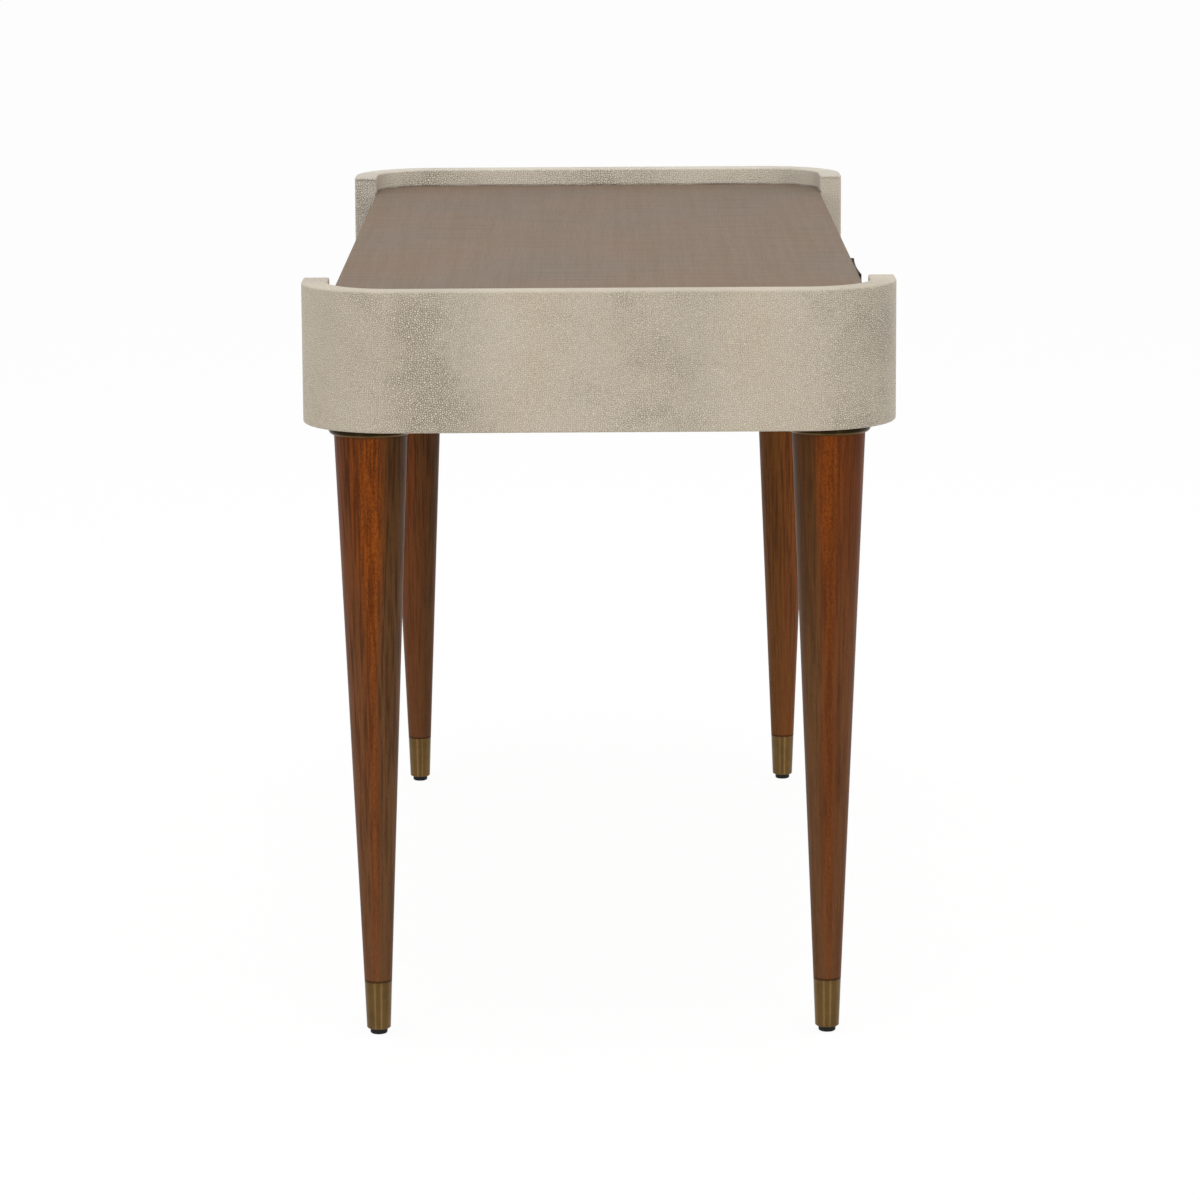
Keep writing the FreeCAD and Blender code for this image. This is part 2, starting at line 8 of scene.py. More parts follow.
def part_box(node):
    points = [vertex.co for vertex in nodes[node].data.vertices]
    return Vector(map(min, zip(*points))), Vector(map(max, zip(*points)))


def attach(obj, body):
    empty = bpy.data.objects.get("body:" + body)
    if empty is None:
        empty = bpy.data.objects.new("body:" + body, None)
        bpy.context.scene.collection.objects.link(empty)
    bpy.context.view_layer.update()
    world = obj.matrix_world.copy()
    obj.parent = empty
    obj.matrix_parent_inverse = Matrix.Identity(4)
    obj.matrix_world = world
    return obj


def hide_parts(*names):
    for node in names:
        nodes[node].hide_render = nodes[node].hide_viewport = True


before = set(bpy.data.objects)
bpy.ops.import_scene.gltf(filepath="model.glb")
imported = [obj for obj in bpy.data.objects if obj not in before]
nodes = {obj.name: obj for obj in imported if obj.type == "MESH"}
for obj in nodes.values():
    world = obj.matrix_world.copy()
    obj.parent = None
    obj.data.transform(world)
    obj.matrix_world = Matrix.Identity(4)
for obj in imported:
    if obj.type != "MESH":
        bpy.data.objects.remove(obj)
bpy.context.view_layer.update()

# Writing desk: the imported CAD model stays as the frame. The shagreen skins and the pull screws are
# remade here, the slides get their screws, and every node gets its finish. X runs along the desk,
# and the drawers open towards -Y.


def tint(red, green, blue):
    # A colour as read off a picture, 0 to 255, turned into the linear values that shaders want
    parts = [value / 255 for value in (red, green, blue)]
    return tuple(v / 12.92 if v <= 0.04045 else ((v + 0.055) / 1.055) ** 2.4 for v in parts) + (1.0,)


plainWhite = tint(255, 255, 255)
halves = (-0.1, 0.1)  # the span, in X or in Y, over which one half of the desk gives way to the other

cameraValues = {
    "place": (-5.5998, 0.0013, 1.3579),
    "pitch": 0.178596,  # downwards, radians
    "yaw": -0.00014,
    "roll": -0.0057226,
    "sensor": 36.0,
    "focal": 4909.92 / 1200,  # in picture widths
    "farEnd": 200,
}


def addCamera(values):
    cosPitch, sinPitch = math.cos(values["pitch"]), math.sin(values["pitch"])
    cosYaw, sinYaw = math.cos(values["yaw"]), math.sin(values["yaw"])
    cosRoll, sinRoll = math.cos(values["roll"]), math.sin(values["roll"])
    forward = Vector((cosPitch * cosYaw, cosPitch * sinYaw, -sinPitch))
    level = Vector((sinYaw, -cosYaw, 0))
    upward = level.cross(forward)
    right = level * cosRoll + upward * sinRoll
    top = upward * cosRoll - level * sinRoll
    data = bpy.data.cameras.new("camera")
    data.sensor_width = values["sensor"]
    data.lens = values["sensor"] * values["focal"]
    data.clip_end = values["farEnd"]
    camera = bpy.data.objects.new("camera", data)
    turn = Matrix((right, top, -forward)).transposed().to_4x4()
    camera.matrix_world = Matrix.Translation(values["place"]) @ turn
    bpy.context.scene.collection.objects.link(camera)
    bpy.context.scene.camera = camera


addCamera(cameraValues)
print("camera set")


class Wire:
    # One output socket. Sums on it write themselves as Math nodes.
    def __init__(self, finish, socket):
        self.finish, self.socket = finish, socket

    def sum(self, operation, first, second=0.0, third=0.0):
        return self.finish.node("ShaderNodeMath", {"operation": operation}, [first, second, third])

    def __add__(self, other):
        return self.sum("ADD", self, other)

    def __radd__(self, other):
        return self.sum("ADD", other, self)

    def __sub__(self, other):
        return self.sum("SUBTRACT", self, other)

    def __rsub__(self, other):
        return self.sum("SUBTRACT", other, self)

    def __mul__(self, other):
        return self.sum("MULTIPLY", self, other)

    def __rmul__(self, other):
        return self.sum("MULTIPLY", other, self)

    def __truediv__(self, other):
        return self.sum("DIVIDE", self, other)

    def __abs__(self):
        return self.sum("ABSOLUTE", self)

    def least(self, other):
        return self.sum("MINIMUM", self, other)

    def most(self, other):
        return self.sum("MAXIMUM", self, other)

    def wrapped(self, span):
        return self.sum("WRAP", self, span / 2, -span / 2)

    def step(self, low, high):
        # 0 below low, 1 above high, and a smooth rise between them
        ranges = {"Value": self, "From Min": low, "From Max": high, "To Min": 0.0, "To Max": 1.0}
        return self.finish.node("ShaderNodeMapRange", {"interpolation_type": "SMOOTHSTEP"}, ranges)

    def below(self, low, high):
        return 1 - self.step(low, high)

    def within(self, low, high):
        # 1 nearer to 0 than low, on either side, and 0 beyond high
        return abs(self).below(low, high)

    def out(self, name):
        return Wire(self.finish, self.socket.node.outputs[name])


class Finish:
    # One material, or the world or node group that is handed in, and the kinds of node it is made of
    def __init__(self, name, holder=None):
        self.material = self.tree = holder or bpy.data.materials.new(name)
        if not isinstance(holder, bpy.types.NodeTree):
            self.material.use_nodes = True
            self.tree = self.material.node_tree
            self.tree.nodes.clear()

    def node(self, kind, settings=None, sockets=None, output=0):
        made = self.tree.nodes.new(kind)
        for key, value in (settings or {}).items():
            setattr(made, key, value)
        pairs = sockets.items() if isinstance(sockets, dict) else enumerate(sockets or [])
        for key, value in pairs:
            if isinstance(value, Wire):
                self.tree.links.new(value.socket, made.inputs[key])
            else:
                made.inputs[key].default_value = value
        return Wire(self, made.outputs[output]) if made.outputs else None

    def axes(self, spot=None):
        spot = spot or self.node("ShaderNodeTexCoord", output="Object")
        return self.node("ShaderNodeSeparateXYZ", {}, [spot])

    def noise(self, spot, scale, detail, rough, warp=0.0):
        sockets = {"Vector": spot, "Scale": scale, "Detail": detail, "Roughness": rough, "Distortion": warp}
        return self.node("ShaderNodeTexNoise", {"noise_dimensions": "3D"}, sockets)

    def grain(self, stretch, detail, rough, warp=0.0):
        # Noise over the piece: the smaller the stretch, the longer the figure along that axis
        spot = self.node("ShaderNodeTexCoord", output="Object")
        spot = self.node("ShaderNodeMapping", {}, {"Vector": spot, "Scale": stretch})
        return self.noise(spot, 1.0, detail, rough, warp)

    def mix(self, amount, first, second):
        return self.node("ShaderNodeMix", {"data_type": "RGBA"}, {0: amount, 6: first, 7: second}, output=2)

    def coat(self, colour, mask, layer):
        # A layer is a tint, and how strongly it shows where the mask is 1
        paint, strength = layer
        return self.mix(mask * strength, colour, paint)

    def bump(self, height, depth, strength):
        return self.node("ShaderNodeBump", {}, {"Height": height, "Distance": depth, "Strength": strength})

    def surface(self, **sockets):
        names = {key.replace("_", " "): value for key, value in sockets.items()}
        shader = self.node("ShaderNodeBsdfPrincipled", {}, names)
        self.node("ShaderNodeOutputMaterial", {}, {"Surface": shader})
        return self.material

    def seenRays(self):
        # 1 where the camera looks, also by way of a reflection or through something clear
        rays = self.node("ShaderNodeLightPath", output="Is Camera Ray")
        return rays.most(rays.out("Is Glossy Ray")).most(rays.out("Is Transmission Ray"))


stageValues = {
    "floor": tint(250, 250, 250),
    "floorSize": 90.0,
    "whiteShare": 0.90,  # how much of the floor that the camera sees is plain white
    "glow": 1.03,  # strength of that white
    "ambient": 0.56,  # strength of the room's light on the desk
    "backdrop": 1.0,  # strength of the white behind the desk
}
lampValues = {
    # name: place, where it points, width, height, power
    "overheadSoftbox": ((-0.8, 0.0, 3.4), (-0.2, 0, 0.7), 3.4, 2.6, 33),
    "tallSoftboxLeft": ((-11.6, 6.4, 2.6), (0, 0, 0.5), 3.0, 5.4, 222),
    "tallSoftboxRight": ((-11.6, -5.4, 2.6), (0, 0, 0.5), 3.0, 5.4, 222),
    "drawerSideSoftbox": ((0.8, -4.0, 1.9), (0, 0, 0.5), 2.4, 2.0, 20),
    "backSideSoftbox": ((1.2, 4.0, 1.9), (0, 0, 0.5), 2.4, 2.0, 14),
}


def addFloor(values):
    half = values["floorSize"] / 2
    corners = [(-half, -half, 0), (half, -half, 0), (half, half, 0), (-half, half, 0)]
    mesh = bpy.data.meshes.new("floor")
    mesh.from_pydata(corners, [], [(0, 1, 2, 3)])
    floor = bpy.data.objects.new("floor", mesh)
    bpy.context.scene.collection.objects.link(floor)
    finish = Finish("studio_floor")
    paint = finish.node("ShaderNodeBsdfDiffuse", {}, {"Color": values["floor"]})
    glow = finish.node("ShaderNodeEmission", {}, {"Color": plainWhite, "Strength": values["glow"]})
    white = finish.seenRays() * values["whiteShare"]
    both = finish.node("ShaderNodeMixShader", {}, [white, paint, glow])
    finish.node("ShaderNodeOutputMaterial", {}, {"Surface": both})
    mesh.materials.append(finish.material)


def addWorld(values):
    finish = Finish("studio", bpy.data.worlds.new("studio"))
    room = finish.node("ShaderNodeBackground", {}, {"Color": plainWhite, "Strength": values["ambient"]})
    white = finish.node("ShaderNodeBackground", {}, {"Color": plainWhite, "Strength": values["backdrop"]})
    both = finish.node("ShaderNodeMixShader", {}, [finish.seenRays(), room, white])
    finish.node("ShaderNodeOutputWorld", {}, {"Surface": both})
    bpy.context.scene.world = finish.material


def addLamp(name, place, aim, width, height, power):
    data = bpy.data.lights.new(name, "AREA")
    data.shape, data.size, data.size_y, data.energy = "RECTANGLE", width, height, power
    lamp = bpy.data.objects.new(name, data)
    lamp.location = place
    lamp.rotation_euler = (Vector(aim) - Vector(place)).to_track_quat("-Z", "Y").to_euler()
    bpy.context.scene.collection.objects.link(lamp)


addFloor(stageValues)
addWorld(stageValues)
for lampName, values in lampValues.items():
    addLamp(lampName, *values)
bpy.context.scene.view_settings.view_transform = "Standard"
print("stage and lamps set")


gapTint, glintTint = tint(122, 111, 93), tint(228, 218, 200)
shagreenValues = {
    "pebble": tint(213, 201, 181),
    "pebbleShade": tint(192, 180, 161),
    "farSkin": tint(210, 202, 189),  # the skin of the band beyond the drawers
    # Painted light: the far band's end, whose inner face looks towards the front lamps, is lighter
    "farWallPaintedLight": tint(231, 223, 207),
    "gap": gapTint,
    "glint": glintTint,
    # Dark joint line with painted contact shadow, where the inner face meets the desktop
    "jointShade": tint(84, 68, 54),
    # Noise: scale, detail, roughness
    "cloud": (7.0, 3.0, 0.5),
    "drift": (16.0, 3.0, 0.55),
    "wobble": (330.0, 2.0, 0.5),
    # Layers: a tint, and how strongly it shows
    "brownPatch": (tint(186, 160, 128), 0.16),
    "warmPatch": (tint(210, 193, 164), 0.3),
    "greyPatch": (tint(150, 144, 130), 0.12),
    "rimGlint": (glintTint, 0.2),
    # Painted shade on the rounded corners
    "cornerPaintedShade": (gapTint, 0.1),
    "seamShade": (gapTint, 0.45),
    # Coarse spines across the skin, in metres along the band
    "skinWidth": 0.230,  # from one spine to the next
    "sway": 0.06,  # how far the spines wander
    "spine": (0.0, 0.105),
    "flank": (0.05, 0.11),
    "shadowAt": 0.052,  # a grey shadow lies this far off each spine
    "shadow": (0.0, 0.05),
    # Spans over which something begins or ends
    "middle": (0.04, 0.14),  # off the middle of an end, where its spine is fainter
    "corner": (0.22, 0.305),  # off the middle, where an end turns into its arms
    "wall": (0.60, 0.64),  # along X: the inner wall of the far band
    "softSide": (-0.26, -0.08),  # along Y: softer pebbles at the far band's drawer side
    "rim": (0.7845, 0.7865),  # height of the top edge
    "seamAt": 0.7832,  # height of the seam on the arms' end faces
    "seam": (0.0, 0.0006),
    "jointAt": 0.1234,  # where the inner face meets the desktop, up from its lower edge
    "joint": (0.0006, 0.0024),
    "fine": 500.0,  # pebbles per metre
    "coarse": 460.0,
    "stray": (0.0028, 0.0028, 0.0),  # how far the pebbles leave an even spread
    "relief": 0.0007,
    "roughness": 0.55,
}


def makeShagreen(values):
    # Coordinates run along the band and up it, so the pebbles follow the bend
    finish = Finish("shagreen")
    spot = finish.node("ShaderNodeUVMap", {"uv_map": "unrolled"})
    along, place = finish.axes(spot), finish.axes()
    up, across = along.out("Y"), place.out("Y")
    far, wall, rim = place.step(*halves), place.step(*values["wall"]), place.out("Z").step(*values["rim"])
    cloud = finish.noise(spot, *values["cloud"])
    drift = finish.noise(spot, *values["drift"])
    bend = along + values["sway"] * (cloud - 0.5)
    offSpine = bend.wrapped(values["skinWidth"])
    offShadow = (bend + values["shadowAt"]).wrapped(values["skinWidth"])
    fainter = across.within(*values["middle"]) * (1 - far) * 0.4
    spine = offSpine.within(*values["spine"]) * (1 - fainter)
    flank = abs(offSpine).step(*values["flank"])
    shadow = offShadow.within(*values["shadow"])
    coarse = (spine * 0.7 + drift.step(0.36, 0.72) * 0.5).least(1.0)
    wobble = finish.noise(spot, *values["wobble"]).out("Color")
    strayed = [wobble, values["stray"], spot]
    uneven = finish.node("ShaderNodeVectorMath", {"operation": "MULTIPLY_ADD"}, strayed)

    def pebbles(scale):
        # A dome and a tone for each pebble
        sockets = {"Vector": uneven, "Scale": scale, "Randomness": 0.9}
        kinds = [{"voronoi_dimensions": "2D", "feature": feature} for feature in ("F1", "DISTANCE_TO_EDGE")]
        near, edge = (finish.node("ShaderNodeTexVoronoi", kind, sockets) for kind in kinds)
        return edge.step(0.0, 0.3) * (1 - 0.5 * near), finish.axes(near.out("Color"))

    wider = 1 - 0.25 * far
    smallDome, smallTone = pebbles(values["fine"] * wider)
    largeDome, largeTone = pebbles(values["coarse"] * wider)
    dome = smallDome * (1 - coarse) + largeDome * coarse
    # How dark the gaps between the pebbles look: partly the skin's own darker gaps, partly painted shade in the
    # hollows
    softer = 0.4 * far * across.below(*values["softSide"])
    depth = (0.47 + 0.31 * coarse + 0.08 * wall * spine) * (1 - 0.6 * rim) * (1 - softer)
    body = finish.mix(smallTone * 0.4 + largeTone * 0.6 * coarse, values["pebble"], values["pebbleShade"])
    # Painted light: the far band's end gets a lighter tint than the rest of the skin
    body = finish.mix(wall, finish.mix(far, body, values["farSkin"]), values["farWallPaintedLight"])
    body = finish.coat(body, spine * cloud.step(0.42, 0.62), values["brownPatch"])
    body = finish.coat(body, flank * drift.step(0.3, 0.6) * (1 - wall), values["warmPatch"])
    body = finish.coat(body, shadow + cloud.step(0.50, 0.74), values["greyPatch"])
    colour = finish.mix(dome.below(0.0, 0.66) * depth, body, values["gap"])
    colour = finish.mix(dome.step(0.6, 0.95) * (0.22 + 0.43 * coarse), colour, values["glint"])
    colour = finish.coat(colour, rim, values["rimGlint"])
    # Painted shade: the rounded corners, where an end turns into its arms, darkened as if turned away from the
    # lamps
    colour = finish.coat(colour, abs(across).step(*values["corner"]) * (1 - rim), values["cornerPaintedShade"])
    seam = (up - values["seamAt"]).within(*values["seam"])
    colour = finish.coat(colour, seam, values["seamShade"])
    # A dark joint line where the inner face meets the desktop, deepened with painted contact shadow
    joint = (up - values["jointAt"]).within(*values["joint"])
    colour = finish.mix(joint * (0.3 + drift.step(0.3, 0.7) * 0.5), colour, values["jointShade"])
    relief = dome * (0.4 + 0.6 * coarse) - seam
    return finish.surface(Base_Color=colour, Roughness=values["roughness"] - 0.12 * dome,
                          Normal=finish.bump(relief, values["relief"], 0.9), Specular_IOR_Level=0.4)


topDark = tint(104, 89, 76)
topWoodValues = {
    "base": tint(132, 114, 97),
    # Noise: stretch along X, Y and Z, detail, roughness
    "streaks": ((2.2, 110, 110), 4.0, 0.6),
    "fibres": ((14, 1300, 1300), 3.0, 0.6),
    "pores": ((60, 2100, 2100), 1.0, 0.4),
    "figure": ((60, 9, 9), 3.0, 0.6),
    "clouds": ((3.0, 5.0, 5.0), 2.0, 0.5),
    # Layers: a tint, and how strongly it shows
    "light": (tint(140, 122, 107), 0.8),
    "warm": (tint(139, 115, 94), 0.5),
    "cool": (tint(124, 118, 103), 0.4),
    "fibreShade": (topDark, 0.4),
    "figureShade": (topDark, 0.24),
    "poreShade": (topDark, 0.5),
    "relief": 0.0001,
    "roughness": 0.5,
}


def makeTaupeWood(values):
    # Grain along X, with short pores and a faint weave-like cross figure
    finish = Finish("taupe_wood")
    streaks = finish.grain(*values["streaks"])
    fibres = finish.grain(*values["fibres"])
    pores = finish.grain(*values["pores"])
    figure = finish.grain(*values["figure"])
    clouds = finish.grain(*values["clouds"])
    colour = finish.coat(values["base"], streaks.step(0.3, 0.7), values["light"])
    colour = finish.coat(colour, clouds.step(0.42, 0.75), values["warm"])
    colour = finish.coat(colour, clouds.below(0.28, 0.52), values["cool"])
    colour = finish.coat(colour, fibres.step(0.45, 0.8), values["fibreShade"])
    colour = finish.coat(colour, figure.step(0.40, 0.75), values["figureShade"])
    colour = finish.coat(colour, pores.step(0.66, 0.78), values["poreShade"])
    relief = 1 - pores.step(0.62, 0.8) * 0.7 - fibres * 0.2
    return finish.surface(Base_Color=colour, Roughness=values["roughness"] + 0.1 * fibres,
                          Normal=finish.bump(relief, values["relief"], 0.5), Specular_IOR_Level=0.04)


legDark = tint(40, 22, 12)
legWoodValues = {
    "amber": tint(124, 57, 11),
    "red": tint(112, 58, 26),
    "olive": tint(88, 57, 28),
    # Painted light towards the foot
    "foot": tint(108, 73, 47),
    "dark": legDark,
    # Noise: stretch along X, Y and Z, detail, roughness, warp
    "drift": ((9, 9, 2.2), 2.0, 0.5),
    "bands": ((80, 80, 1.6), 4.0, 0.6, 0.5),
    "lines": ((330, 330, 5.0), 3.0, 0.55, 0.3),
    "fibres": ((1500, 1500, 26), 2.0, 0.6),
    "flecks": ((620, 620, 330), 2.0, 0.6),
    "pores": ((1900, 1900, 90), 1.0, 0.4),
    # Layers: a tint, and how strongly it shows
    "fleckLight": (tint(158, 84, 26), 0.75),
    "sheen": (tint(128, 91, 59), 0.36),
    "farRight": (tint(140, 82, 30), 0.3),  # the far leg on the drawers' side
    "fibreShade": (legDark, 0.32),
    "poreShade": (legDark, 0.38),
    "jointShade": (legDark, 0.7),
    # Heights over which something begins or ends
    "footEnd": (0.05, 0.55),
    "sheenEnd": (0.3, 0.66),
    "lineStart": (-0.2, 0.5),
    "duskStart": (0.12, 0.30),
    "duskEnd": (0.42, 0.62),
    "jointEnd": (0.0575, 0.0600),
    "axis": (0.620, 0.2345),  # a leg's place, off the middle of the desk
    "relief": 0.00008,
    "roughness": 0.34,
}


def makeLegWood(values):
    # Upright grain; the side of each near leg that faces out along the desk shows the amber figure
    finish = Finish("leg_wood")
    spot = finish.axes()
    height = spot.out("Z")
    far, drawerSide = spot.step(*halves), spot.out("Y").below(*halves)
    calm = drawerSide * (1 - far)  # the near leg on the drawers' side has a softer figure
    endways = abs(abs(spot) - values["axis"][0])
    outwards = abs(spot.out("Y")) - values["axis"][1]
    around = endways + abs(outwards) + 0.0001  # never 0
    lean = outwards / around  # above 0 on the side away from the middle
    drift = finish.grain(*values["drift"])
    bands = finish.grain(*values["bands"])
    lines = finish.grain(*values["lines"])
    fibres = finish.grain(*values["fibres"])
    flecks = finish.grain(*values["flecks"])
    pores = finish.grain(*values["pores"])
    amber = (endways / around + 0.06 * lean + 0.9 * (drift - 0.5)).step(0.58, 0.98) * (1 - 0.85 * far)
    redder = (lean + 2.4 * (bands - 0.5) + 0.3 * calm).step(-0.35, 0.35)
    flank = finish.mix(redder, values["olive"], values["red"])
    # Painted sheen on the flanks, standing in for the lacquer's shine; it fades out towards the top, left
    # darker as in the band's shade
    flank = finish.coat(flank, height.below(*values["sheenEnd"]) * (1 - 0.9 * far), values["sheen"])
    centre = finish.coat(values["amber"], flecks.step(0.38, 0.62), values["fleckLight"])
    colour = finish.mix(amber, flank, centre)
    # Painted light: lighter and greyer towards the foot, so the top of the leg stays darker as in the band's
    # shade
    colour = finish.mix(height.below(*values["footEnd"]) * (0.6 - 0.22 * amber), colour, values["foot"])
    colour = finish.coat(colour, far * drawerSide, values["farRight"])
    streaks = lines.step(0.40, 0.66) * (0.64 - 0.08 * amber - 0.06 * far) * height.step(*values["lineStart"])
    colour = finish.mix(streaks * (1 - 0.42 * calm), colour, values["dark"])
    # Soft dark veils; on the calm leg they lie on its outer side and dim the middle of its amber
    veils = bands.step(0.50, 0.70) * (0.29 - 0.12 * far) + flecks.step(0.5, 0.8) * 0.22
    dusk = height.step(*values["duskStart"]) * height.below(*values["duskEnd"]) * amber
    veils = veils + calm * (0.10 * lean.step(-0.4, 0.2) + 0.24 * dusk)
    colour = finish.mix(veils, colour, values["dark"])
    colour = finish.coat(colour, fibres.step(0.5, 0.8), values["fibreShade"])
    colour = finish.coat(colour, pores.step(0.63, 0.74), values["poreShade"])
    colour = finish.coat(colour, height.below(*values["jointEnd"]), values["jointShade"])
    relief = 1 - pores.step(0.6, 0.75) * 0.6 - 0.2 * fibres
    return finish.surface(Base_Color=colour, Roughness=values["roughness"] + 0.12 * lines,
                          Normal=finish.bump(relief, values["relief"], 0.5), Specular_IOR_Level=0.05)


caseLight, caseDark = tint(176, 146, 108), tint(150, 118, 82)
boxLight, boxDark = tint(205, 180, 144), tint(184, 155, 116)
plainWoodValues = {
    # name: light, dark, the axis along which the grain runs
    "case_wood": (caseLight, caseDark, 0),
    "case_wood_deep": (caseLight, caseDark, 1),
    "block_wood": (tint(182, 152, 112), tint(152, 120, 84), 2),
    "drawer_box_wood": (boxLight, boxDark, 1),
    "drawer_box_wood_cross": (boxLight, boxDark, 0),
}
plainGrain = {
    # Noise: stretch along the grain and across it, detail, roughness
    "tone": (1.2, 16, 3.0, 0.5),
    "streaks": (3.0, 130, 4.0, 0.6),
    "fibres": (24, 1100, 2.0, 0.6),
    "pores": (90, 2000, 1.0, 0.4),
    # A layer: a tint, and how strongly it shows
    "poreShade": (tint(110, 82, 52), 0.3),
}


def makePlainWood(name, light, dark, axis):
    finish = Finish(name)

    def figure(along, across, detail, rough):
        return finish.grain([along if i == axis else across for i in range(3)], detail, rough)

    tone = figure(*plainGrain["tone"])
    streaks = figure(*plainGrain["streaks"])
    fibres = figure(*plainGrain["fibres"])
    pores = figure(*plainGrain["pores"])
    colour = finish.mix(tone.step(0.35, 0.7) * 0.5 + streaks.step(0.45, 0.75) * 0.5, light, dark)
    colour = finish.coat(colour, fibres.step(0.5, 0.8), (dark, 0.5))
    colour = finish.coat(colour, pores.step(0.64, 0.76), plainGrain["poreShade"])
    return finish.surface(Base_Color=colour, Roughness=0.5 + 0.1 * fibres, Specular_IOR_Level=0.25,
                          Normal=finish.bump(1 - 0.5 * fibres - 0.4 * pores.step(0.6, 0.8), 0.0001, 0.4))


metalValues = {
    # name: light, dark, roughness, tarnish, how metallic
    "antique_brass": (tint(107, 83, 49), tint(78, 61, 36), 0.33, 0.3, 1.0),
    "dark_bronze": (tint(46, 37, 30), tint(28, 23, 20), 0.5, 0.5, 0.2),
    "zinc_steel": (tint(203, 205, 207), tint(164, 167, 170), 0.30, 0.1, 1.0),
}
metalGrain = {
    # Noise: stretch along X, Y and Z, detail, roughness
    "lines": ((18, 18, 2600), 2.0, 0.5),
    "clouds": ((60, 60, 60), 4.0, 0.6),
    "specks": ((700, 700, 700), 2.0, 0.5),
}
brassShadeAndPatina = {
    "tint": tint(36, 28, 17),
    # Heights over which the brass gets darker or lighter: painted shade on the collar under the band and at its
    # lower edge, patina in the joint above the ferrule
    "collar": (0.6359, 0.6373),  # where the collar meets the band
    "lip": (0.6342, 0.6349),
    "joint": (0.0560, 0.0568),  # above the ferrule
    "ferruleEnd": (0.1, 0.2),
    "collarStart": (0.3, 0.4),
    "shares": (0.92, 0.85, 0.6),  # how dark collar, lip and joint get
}


def makeMetal(name, light, dark, roughness, tarnish, metallic):
    # Fine turning lines round the axis stretch the shine upwards; tarnish lies in soft clouds
    finish = Finish(name)
    lines = finish.grain(*metalGrain["lines"])
    clouds = finish.grain(*metalGrain["clouds"])
    specks = finish.grain(*metalGrain["specks"])
    worn = clouds.step(0.35, 0.7) * tarnish
    colour = finish.mix(worn, light, dark)
    colour = finish.mix(specks.step(0.6, 0.75) * 0.3 * tarnish, colour, dark)
    if name == "antique_brass":
        # Painted shade on the collar under the band and along its lower edge; patina in the joint above the
        # ferrule
        height = finish.axes().out("Z")
        collar = height.step(*brassShadeAndPatina["collar"])
        lip = height.below(*brassShadeAndPatina["lip"]) * height.step(*brassShadeAndPatina["collarStart"])
        joint = height.step(*brassShadeAndPatina["joint"]) * height.below(*brassShadeAndPatina["ferruleEnd"])
        collarShare, lipShare, jointShare = brassShadeAndPatina["shares"]
        paintedShadeAndPatina = collar * collarShare + lip * lipShare + joint * jointShare
        colour = finish.mix(paintedShadeAndPatina, colour, brassShadeAndPatina["tint"])
    shine = roughness + 0.12 * worn + 0.06 * lines
    return finish.surface(Base_Color=colour, Metallic=metallic, Roughness=shine, Anisotropic=1.0,
                          Anisotropic_Rotation=0.25, Specular_IOR_Level=0.2,
                          Normal=finish.bump(lines, 0.00003, 0.4))


glideValues = {
    "rubber": tint(20, 20, 21),
    "scuffLight": (tint(44, 43, 42), 0.5),  # a tint, and how strongly it shows
    # Noise: stretch along X, Y and Z, detail, roughness
    "grit": ((1200, 1200, 1200), 2.0, 0.5),
    "scuffs": ((90, 90, 240), 3.0, 0.6),
    "relief": 0.00008,
    "roughness": 0.55,
}


def makeGlideBlack(values):
    finish = Finish("glide_black")
    grit = finish.grain(*values["grit"])
    scuffs = finish.grain(*values["scuffs"])
    colour = finish.coat(values["rubber"], scuffs.step(0.55, 0.8), values["scuffLight"])
    return finish.surface(Base_Color=colour, Roughness=values["roughness"] + 0.15 * scuffs,
                          Normal=finish.bump(grit, values["relief"], 0.5), Specular_IOR_Level=0.2)


finishes = {
    "shagreen": makeShagreen(shagreenValues),
    "taupe_wood": makeTaupeWood(topWoodValues),
    "leg_wood": makeLegWood(legWoodValues),
    "glide_black": makeGlideBlack(glideValues),
}
for woodName, values in plainWoodValues.items():
    finishes[woodName] = makePlainWood(woodName, *values)
for metalName, values in metalValues.items():
    finishes[metalName] = makeMetal(metalName, *values)
print("finishes made:", ", ".join(sorted(finishes)))


bandValues = {
    "radius": 0.097,
    "thick": 0.027,
    "edge": 0.0022,  # rounding of the wrapped edges
    "edgeSteps": 4,
    "cornerSteps": 28,
    "faceSteps": 12,
    "lip": 0.012,  # skin folded under the lower edge
    "lipThick": 0.0003,
    "tuck": 0.0006,  # how far the fold's end runs up into the core
    "spineShift": {"left": 0.045, "right": 0.002},  # where the first spine lies from the middle
    "endSpines": (0.0, 0.1),  # the same on the end faces of the two arms
    "weld": 0.000001,  # points closer than this become one
}


def quarterTurn(steps):
    return [(math.cos(turn), math.sin(turn)) for turn in
            (step * math.pi / 2 / steps for step in range(steps + 1))]


def bandSection(low, high, values):
    # Points as (depth behind the outer face, height): up the inner face, over the top, down to the lip
    thick, edge = values["thick"], values["edge"]
    under = low - values["lipThick"]
    rounding = quarterTurn(values["edgeSteps"])
    points = [(thick, low)]
    points += [(thick - edge + edge * cos, high - edge + edge * sin) for cos, sin in rounding]
    points += [(edge - edge * sin, high - edge + edge * cos) for cos, sin in rounding]
    points += [(edge - edge * cos, under + edge - edge * sin) for cos, sin in rounding]
    return points + [(values["lip"], under), (values["lip"], low + values["tuck"])]


